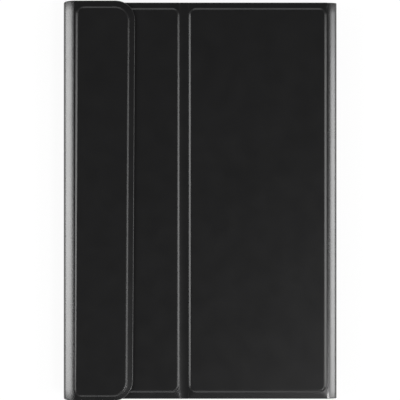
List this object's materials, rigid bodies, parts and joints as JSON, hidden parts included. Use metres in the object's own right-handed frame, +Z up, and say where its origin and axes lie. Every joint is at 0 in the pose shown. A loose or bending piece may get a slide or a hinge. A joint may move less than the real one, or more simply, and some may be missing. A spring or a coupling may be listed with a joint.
{
  "type": "tablet keyboard case",
  "caption": "Slim folding cover for a tablet: padded leather-look panels and spines, closing flap, gripping tablet tray and a lift-out wireless keyboard with pressing keys.",
  "frame": {"origin": "middle of the closed case's footprint, at the surface that it lies on", "axes": "+Z up out of the lid, +Y along the long side, +X from the closing flap's spine to the rear spine that the lid opens about"},
  "size_m": [0.1758, 0.2572, 0.0231],
  "materials": {
    "cover_leather": "smooth satin black",
    "lining_fabric": "brushed microfibre",
    "stiffener": "pressed board",
    "magnet_steel": "plated",
    "adhesive": "pressure-sensitive sheet",
    "tray_plastic": "fine satin",
    "keyboard_shell": "satin",
    "key_plastic": "fine matt",
    "foot_rubber": "matt",
    "screw_steel": "dark plated",
    "plate_metal": "rolled",
    "circuit_film": "clear film",
    "dome_rubber": "milky",
    "circuit_board": "solder mask",
    "battery_foil": "foil",
    "port_metal": "plated",
    "control_plastic": "gloss",
    "lens_plastic": "diffusing"
  },
  "bodies": {
    "base": {"base_skin": "cover_leather", "base_board": "stiffener", "base_lining": "lining_fabric", "keyboard_hold_plates": "magnet_steel", "stand_magnets": "magnet_steel", "hinge_strip_rear_lower": "cover_leather", "hinge_strip_front_lower": "cover_leather"},
    "rear_spine": {"rear_spine_skin": "cover_leather", "rear_spine_board": "stiffener", "rear_spine_lining": "lining_fabric", "hinge_strip_rear_upper": "cover_leather"},
    "lid": {"lid_rear_skin": "cover_leather", "lid_rear_board": "stiffener", "lid_rear_lining": "lining_fabric", "lid_front_skin": "cover_leather", "lid_front_board": "stiffener", "lid_front_lining": "lining_fabric", "hinge_strip_stand": "cover_leather", "catch_plates": "magnet_steel", "tray_adhesive": "adhesive", "tablet_tray": "tray_plastic"},
    "front_spine": {"front_spine_skin": "cover_leather", "front_spine_board": "stiffener", "front_spine_lining": "lining_fabric", "hinge_strip_flap": "cover_leather"},
    "flap": {"flap_skin": "cover_leather", "flap_board": "stiffener", "flap_lining": "lining_fabric", "flap_magnets": "magnet_steel"},
    "keyboard": {"keyboard_bottom_case": "keyboard_shell", "keyboard_deck": "keyboard_shell", "keyboard_feet": "foot_rubber", "case_screws": "screw_steel", "support_plate": "plate_metal", "circuit_sheet": "circuit_film", "dome_sheet": "dome_rubber", "charging_port": "port_metal", "main_board": "circuit_board", "battery": "battery_foil", "indicator_lenses": "lens_plastic", "switch_housing": "port_metal", "keyboard_magnets": "magnet_steel"},
    "power_switch": {"power_switch_knob": "control_plastic"},
    "pairing_button": {"pair_button": "control_plastic"},
    "function_row_keys_body": {"function_row_keys": "key_plastic"},
    "number_row_keys_body": {"number_row_keys": "key_plastic"},
    "backspace_key_body": {"backspace_key": "key_plastic"},
    "tab_key_body": {"tab_key": "key_plastic"},
    "upper_row_keys_body": {"upper_row_keys": "key_plastic"},
    "caps_lock_key_body": {"caps_lock_key": "key_plastic"},
    "home_row_keys_body": {"home_row_keys": "key_plastic"},
    "enter_key_body": {"enter_key": "key_plastic"},
    "left_shift_key_body": {"left_shift_key": "key_plastic"},
    "lower_row_keys_body": {"lower_row_keys": "key_plastic"},
    "right_shift_key_body": {"right_shift_key": "key_plastic"},
    "modifier_keys_body": {"modifier_keys": "key_plastic"},
    "space_bar_body": {"space_bar": "key_plastic"},
    "arrow_keys_body": {"arrow_keys": "key_plastic"}
  },
  "joints": [
    {"name": "lid_open", "type": "hinge", "parent": "base", "child": "rear_spine", "pos_m": [0.08664, 0, 0.00191], "axis": [0, 1, 0], "range_deg": [0, 90], "deforming": ["hinge_strip_rear_lower"]},
    {"name": "lid_fold", "type": "hinge", "parent": "rear_spine", "child": "lid", "pos_m": [0.08664, 0, 0.01899], "axis": [0, 1, 0], "range_deg": [0, 90], "deforming": ["hinge_strip_rear_upper"]},
    {"name": "front_spine_fold", "type": "hinge", "parent": "base", "child": "front_spine", "pos_m": [-0.08649, 0, 0.00206], "axis": [0, -1, 0], "range_deg": [0, 90], "deforming": ["hinge_strip_front_lower"]},
    {"name": "flap_fold", "type": "hinge", "parent": "front_spine", "child": "flap", "pos_m": [-0.08649, 0, 0.02114], "axis": [0, -1, 0], "range_deg": [0, 90], "deforming": ["hinge_strip_flap"]},
    {"name": "keyboard_slide", "type": "slide", "parent": "base", "child": "keyboard", "axis": [0, 1, 0], "range_m": [0, 0.27]},
    {"name": "power_switch_slide", "type": "slide", "parent": "keyboard", "child": "power_switch", "axis": [1, 0, 0], "range_m": [0, 0.0024]},
    {"name": "pairing_press", "type": "slide", "parent": "keyboard", "child": "pairing_button", "axis": [0, 0, -1], "range_m": [0, 0.0004], "stiffness_N_per_m": 1500, "springref_m": -0.0002},
    {"name": "function_row_keys_press", "type": "slide", "parent": "keyboard", "child": "function_row_keys_body", "axis": [0, 0, -1], "range_m": [0, 0.0015], "stiffness_N_per_m": 4900, "springref_m": -0.0005, "deforming": ["dome_sheet"]},
    {"name": "number_row_keys_press", "type": "slide", "parent": "keyboard", "child": "number_row_keys_body", "axis": [0, 0, -1], "range_m": [0, 0.0015], "stiffness_N_per_m": 4200, "springref_m": -0.0005, "deforming": ["dome_sheet"]},
    {"name": "backspace_key_press", "type": "slide", "parent": "keyboard", "child": "backspace_key_body", "axis": [0, 0, -1], "range_m": [0, 0.0015], "stiffness_N_per_m": 350, "springref_m": -0.0005, "deforming": ["dome_sheet"]},
    {"name": "tab_key_press", "type": "slide", "parent": "keyboard", "child": "tab_key_body", "axis": [0, 0, -1], "range_m": [0, 0.0015], "stiffness_N_per_m": 350, "springref_m": -0.0005, "deforming": ["dome_sheet"]},
    {"name": "upper_row_keys_press", "type": "slide", "parent": "keyboard", "child": "upper_row_keys_body", "axis": [0, 0, -1], "range_m": [0, 0.0015], "stiffness_N_per_m": 4200, "springref_m": -0.0005, "deforming": ["dome_sheet"]},
    {"name": "caps_lock_key_press", "type": "slide", "parent": "keyboard", "child": "caps_lock_key_body", "axis": [0, 0, -1], "range_m": [0, 0.0015], "stiffness_N_per_m": 350, "springref_m": -0.0005, "deforming": ["dome_sheet"]},
    {"name": "home_row_keys_press", "type": "slide", "parent": "keyboard", "child": "home_row_keys_body", "axis": [0, 0, -1], "range_m": [0, 0.0015], "stiffness_N_per_m": 3500, "springref_m": -0.0005, "deforming": ["dome_sheet"]},
    {"name": "enter_key_press", "type": "slide", "parent": "keyboard", "child": "enter_key_body", "axis": [0, 0, -1], "range_m": [0, 0.0015], "stiffness_N_per_m": 350, "springref_m": -0.0005, "deforming": ["dome_sheet"]},
    {"name": "left_shift_key_press", "type": "slide", "parent": "keyboard", "child": "left_shift_key_body", "axis": [0, 0, -1], "range_m": [0, 0.0015], "stiffness_N_per_m": 350, "springref_m": -0.0005, "deforming": ["dome_sheet"]},
    {"name": "lower_row_keys_press", "type": "slide", "parent": "keyboard", "child": "lower_row_keys_body", "axis": [0, 0, -1], "range_m": [0, 0.0015], "stiffness_N_per_m": 3500, "springref_m": -0.0005, "deforming": ["dome_sheet"]},
    {"name": "right_shift_key_press", "type": "slide", "parent": "keyboard", "child": "right_shift_key_body", "axis": [0, 0, -1], "range_m": [0, 0.0015], "stiffness_N_per_m": 350, "springref_m": -0.0005, "deforming": ["dome_sheet"]},
    {"name": "modifier_keys_press", "type": "slide", "parent": "keyboard", "child": "modifier_keys_body", "axis": [0, 0, -1], "range_m": [0, 0.0015], "stiffness_N_per_m": 1750, "springref_m": -0.0005, "deforming": ["dome_sheet"]},
    {"name": "space_bar_press", "type": "slide", "parent": "keyboard", "child": "space_bar_body", "axis": [0, 0, -1], "range_m": [0, 0.0015], "stiffness_N_per_m": 700, "springref_m": -0.0005, "deforming": ["dome_sheet"]},
    {"name": "arrow_keys_press", "type": "slide", "parent": "keyboard", "child": "arrow_keys_body", "axis": [0, 0, -1], "range_m": [0, 0.0015], "stiffness_N_per_m": 1400, "springref_m": -0.0005, "deforming": ["dome_sheet"]}
  ],
  "couplings": [
    {"joint": "lid_fold", "follows": "lid_open", "ratio": 1},
    {"joint": "front_spine_fold", "follows": "lid_open", "ratio": 1}
  ]
}
